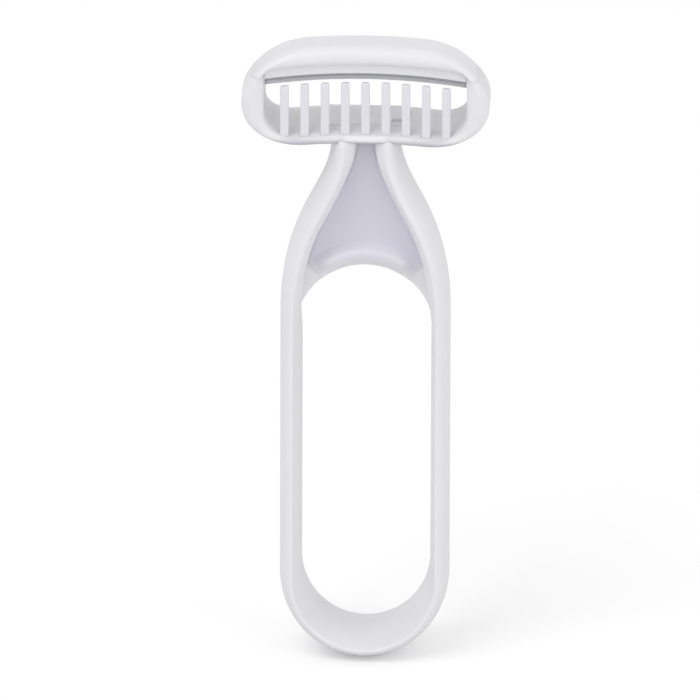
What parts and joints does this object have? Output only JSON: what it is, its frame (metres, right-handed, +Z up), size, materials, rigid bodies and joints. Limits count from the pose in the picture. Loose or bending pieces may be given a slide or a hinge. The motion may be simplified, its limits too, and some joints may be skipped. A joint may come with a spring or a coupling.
{
  "type": "body razor",
  "caption": "Manual body razor with a long open loop handle, a tapered neck with an inset panel, and a wide head with a comb guard in front of a strip blade.",
  "frame": {"origin": "under the middle of the handle, at the lowest point of the loop, midway between the front and back planes", "axes": "+Z runs up the handle from the loop to the head; the comb and the panel face -Y; +X is to the right seen from the front"},
  "size_m": [0.0494, 0.016, 0.1323],
  "materials": {
    "handle_plastic": "smooth moulded white plastic with a faint lavender cast, satin gloss",
    "panel_plastic": "smooth moulded white plastic, slightly duller than the handle",
    "head_plastic": "smooth moulded white plastic, satin gloss",
    "comb_plastic": "smooth moulded white plastic, satin gloss",
    "clamp_plastic": "plain moulded white plastic",
    "blade_steel": "cold rolled stainless strip, ground bright along the edge"
  },
  "bodies": {
    "handle": {"handle_frame": "handle_plastic", "neck_panel": "panel_plastic", "head_frame": "head_plastic", "comb": "comb_plastic"},
    "cap": {"head_cap": "head_plastic", "blade": "blade_steel", "blade_clamp": "clamp_plastic", "clamp_pin_left": "clamp_plastic", "clamp_pin_middle": "clamp_plastic", "clamp_pin_right": "clamp_plastic"}
  },
  "joints": [
    {"name": "cap_slide", "type": "slide", "parent": "handle", "child": "cap", "axis": [0, 0, 1], "range_m": [0, 0.006]}
  ]
}
